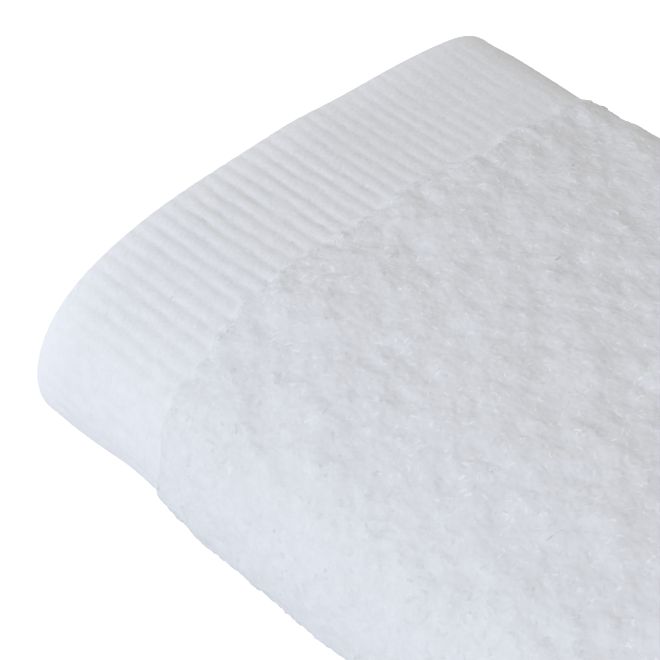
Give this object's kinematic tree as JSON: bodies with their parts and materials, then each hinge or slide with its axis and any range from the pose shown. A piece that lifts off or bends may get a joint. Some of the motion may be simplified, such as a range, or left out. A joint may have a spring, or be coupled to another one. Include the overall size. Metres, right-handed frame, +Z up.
{
  "type": "folded hand towel",
  "caption": "Folded white terry hand towel with a ribbed flat-woven border band at its hem end, lying flat.",
  "frame": {"origin": "middle of the footprint, on the surface that the towel rests on", "axes": "+X along the towel's length, away from the hem end with the ribbed band; -Y towards the large round near fold; +Z up"},
  "size_m": [0.251, 0.194, 0.0705],
  "materials": {
    "white_terry": "white cotton terry with short looped pile, matte, and a flat-woven border of rounded ribs"
  },
  "bodies": {
    "root": {"towel_cloth": "white_terry"}
  },
  "joints": []
}
